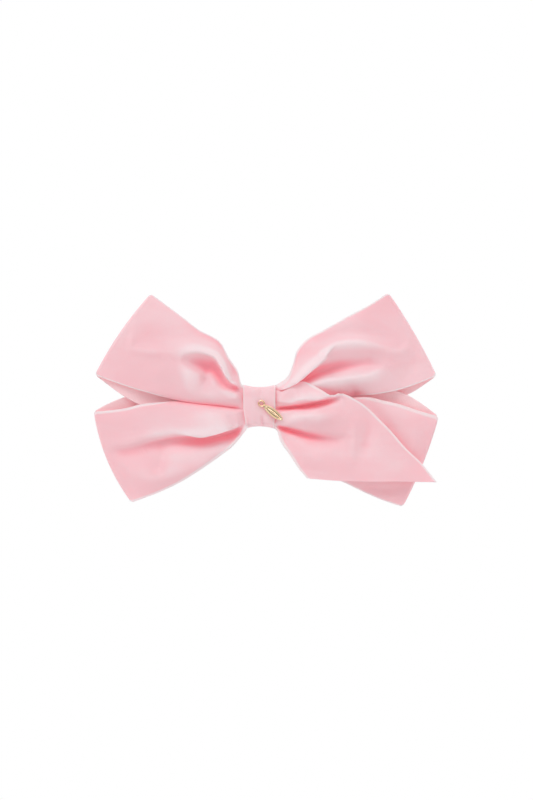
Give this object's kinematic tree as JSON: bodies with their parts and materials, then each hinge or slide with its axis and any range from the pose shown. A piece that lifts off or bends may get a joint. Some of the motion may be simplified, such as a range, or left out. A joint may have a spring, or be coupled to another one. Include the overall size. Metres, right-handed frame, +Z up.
{
  "type": "ribbon bow barrette",
  "caption": "Pink velvet ribbon bow with one cut tail and a wrapped middle, sewn to a sprung French hair clip, with a small gold charm on the wrap.",
  "frame": {"origin": "middle of the clip base plate's rear face, on the side where the lock of hair lies", "axes": "-Y is the bow's front, +X is the right of the bow seen from the front, +Z is up; the clip's hinge pin is along Z"},
  "size_m": [0.172, 0.0348, 0.1057],
  "materials": {
    "velvet": "cut-pile velvet with a soft nap",
    "thread": "twisted polyester sewing thread",
    "felt": "pressed felt",
    "plated_steel": "nickel plated",
    "spring_steel": "bright rolled",
    "gold_plate": "pale gold plated, satin"
  },
  "bodies": {
    "bow_and_clip": {"loop_upper_left": "velvet", "loop_lower_left": "velvet", "loop_upper_right": "velvet", "loop_lower_right": "velvet", "ribbon_tail": "velvet", "centre_wrap": "velvet", "wrap_seam_stitches": "thread", "gathering_thread": "thread", "backing_pad": "felt", "mounting_threads": "thread", "clip_base_plate": "plated_steel", "hinge_pin": "plated_steel", "catch_bracket": "plated_steel", "catch_rivet": "plated_steel"},
    "clasp_arm": {"clasp_arm": "plated_steel"},
    "tension_spring": {"tension_spring": "spring_steel"},
    "catch_prong_upper": {"catch_prong_upper": "spring_steel"},
    "catch_prong_lower": {"catch_prong_lower": "spring_steel"},
    "charm_thread": {"charm_thread": "thread"},
    "charm": {"charm": "gold_plate"}
  },
  "joints": [
    {"name": "arm_hinge", "type": "hinge", "parent": "bow_and_clip", "child": "clasp_arm", "pos_m": [-0.037, 0.0102, 0], "axis": [0, 0, 1], "range_deg": [0, 80]},
    {"name": "prong_upper_pinch", "type": "hinge", "parent": "bow_and_clip", "child": "catch_prong_upper", "pos_m": [0.0367, 0.00605, 0.0026], "axis": [-1, 0, 0], "range_deg": [0, 7], "stiffness_Nm_per_rad": 0.004},
    {"name": "prong_lower_pinch", "type": "hinge", "parent": "bow_and_clip", "child": "catch_prong_lower", "pos_m": [0.0367, 0.00605, -0.0026], "axis": [1, 0, 0], "range_deg": [0, 7], "stiffness_Nm_per_rad": 0.004},
    {"name": "tension_spring_press", "type": "slide", "parent": "bow_and_clip", "child": "tension_spring", "axis": [0, -1, 0], "range_m": [0, 0.0004], "stiffness_N_per_m": 300},
    {"name": "charm_swing", "type": "hinge", "parent": "bow_and_clip", "child": "charm_thread", "pos_m": [-0.00008, -0.0189, 0.00246], "axis": [0, 1, 0], "range_deg": [-38, 142]},
    {"name": "charm_lift", "type": "hinge", "parent": "charm_thread", "child": "charm", "pos_m": [-0.00008, -0.0189, 0.00246], "axis": [-0.6157, 0, -0.788], "range_deg": [0, 70]}
  ],
  "couplings": [
    {"joint": "prong_lower_pinch", "follows": "prong_upper_pinch", "ratio": 1}
  ]
}
